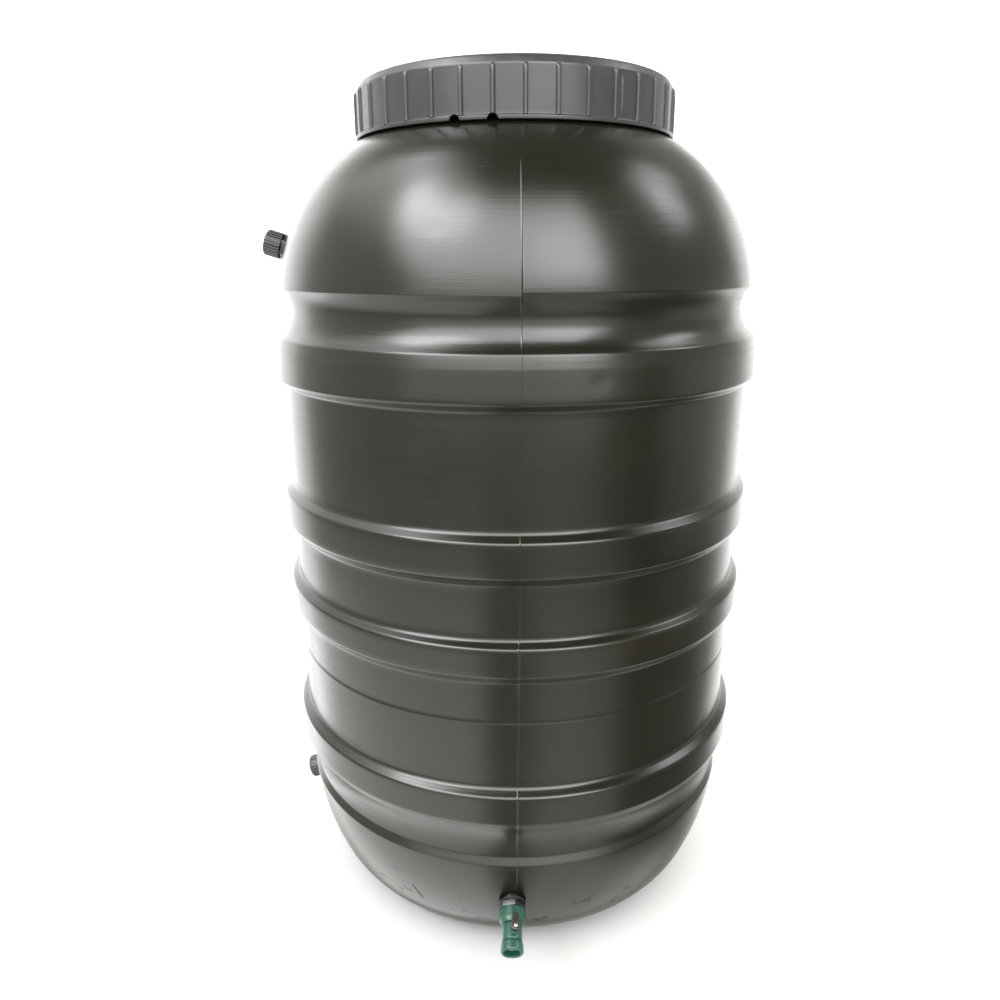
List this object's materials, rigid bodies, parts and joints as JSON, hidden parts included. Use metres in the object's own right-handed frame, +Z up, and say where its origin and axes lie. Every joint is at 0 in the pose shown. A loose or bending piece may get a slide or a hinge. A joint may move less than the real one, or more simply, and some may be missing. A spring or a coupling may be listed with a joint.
{
  "type": "rain barrel",
  "caption": "Black moulded rainwater barrel with a screw lid, a small green ball valve low on the front and capped hose ports on one side.",
  "frame": {"origin": "on the barrel's axis, at the underside that it stands on", "axes": "+Z up along the barrel's axis; the valve faces -Y and the capped ports face -X"},
  "size_m": [0.6067, 0.6263, 1.0028],
  "materials": {
    "barrel_plastic": "satin blow-moulded polyethylene with faint turned lines",
    "lid_plastic": "satin moulded polyethylene",
    "fitting_plastic": "smooth injection-moulded",
    "cap_plastic": "knurled injection-moulded",
    "valve_plastic": "semi-gloss injection-moulded",
    "lever_plastic": "smooth",
    "ball_plastic": "polished",
    "seat_plastic": "smooth",
    "rubber": "matt",
    "screw_steel": "bright"
  },
  "bodies": {
    "barrel": {"barrel_shell": "barrel_plastic", "spigot_fitting": "fitting_plastic", "spigot_gasket": "rubber", "spigot_inner_washer": "rubber", "spigot_locknut": "fitting_plastic", "upper_port_fitting": "fitting_plastic", "upper_port_gasket": "rubber", "upper_port_inner_washer": "rubber", "upper_port_locknut": "fitting_plastic", "lower_port_fitting": "fitting_plastic", "lower_port_gasket": "rubber", "lower_port_inner_washer": "rubber", "lower_port_locknut": "fitting_plastic"},
    "lid_disc": {"lid_disc": "lid_plastic", "lid_gasket": "rubber"},
    "lid_ring": {"lid_ring": "lid_plastic"},
    "upper_cap_washer": {"upper_port_cap_washer": "rubber"},
    "upper_cap": {"upper_port_cap": "cap_plastic"},
    "lower_cap_washer": {"lower_port_cap_washer": "rubber"},
    "lower_cap": {"lower_port_cap": "cap_plastic"},
    "valve": {"valve_body": "valve_plastic", "valve_outlet": "valve_plastic", "valve_seat_inlet": "seat_plastic", "valve_seat_outlet": "seat_plastic", "valve_stem_oring": "rubber", "valve_hose_washer": "rubber"},
    "valve_nut": {"valve_swivel_nut": "valve_plastic"},
    "valve_lever": {"valve_lever": "lever_plastic", "valve_lever_screw": "screw_steel", "valve_stem": "ball_plastic", "valve_ball": "ball_plastic"}
  },
  "joints": [
    {"name": "lid_lift", "type": "slide", "parent": "barrel", "child": "lid_disc", "axis": [0, 0, 1], "range_m": [0, 0.0721]},
    {"name": "ring_turn", "type": "hinge", "parent": "lid_disc", "child": "lid_ring", "pos_m": [0, 0, 0.975], "axis": [0, 0, 1], "range_deg": [0, 1080]},
    {"name": "upper_cap_off", "type": "slide", "parent": "barrel", "child": "upper_cap_washer", "axis": [-0.9563, 0, 0.2924], "range_m": [0, 0.0133]},
    {"name": "upper_cap_turn", "type": "hinge", "parent": "upper_cap_washer", "child": "upper_cap", "pos_m": [-0.29717, 0, 0.83156], "axis": [-0.9563, 0, 0.2924], "range_deg": [0, 2160]},
    {"name": "lower_cap_off", "type": "slide", "parent": "barrel", "child": "lower_cap_washer", "axis": [-0.9563, 0, -0.2924], "range_m": [0, 0.0133]},
    {"name": "lower_cap_turn", "type": "hinge", "parent": "lower_cap_washer", "child": "lower_cap", "pos_m": [-0.29187, 0, 0.08785], "axis": [-0.9563, 0, -0.2924], "range_deg": [0, 2160]},
    {"name": "valve_off", "type": "slide", "parent": "barrel", "child": "valve", "axis": [0, -0.9367, -0.3502], "range_m": [0, 0.0089]},
    {"name": "nut_turn", "type": "hinge", "parent": "valve", "child": "valve_nut", "pos_m": [0, -0.29032, 0.08745], "axis": [0, -0.9367, -0.3502], "range_deg": [0, 1440]},
    {"name": "lever_turn", "type": "hinge", "parent": "valve", "child": "valve_lever", "pos_m": [0, -0.30672, 0.08132], "axis": [0.2079, -0.3426, 0.9162], "range_deg": [0, 90]}
  ],
  "couplings": [
    {"joint": "lid_lift", "follows": "ring_turn", "m_per_rad": 0.0038197},
    {"joint": "upper_cap_off", "follows": "upper_cap_turn", "m_per_rad": 0.00035157},
    {"joint": "lower_cap_off", "follows": "lower_cap_turn", "m_per_rad": 0.00035157},
    {"joint": "valve_off", "follows": "nut_turn", "m_per_rad": 0.00035157}
  ]
}
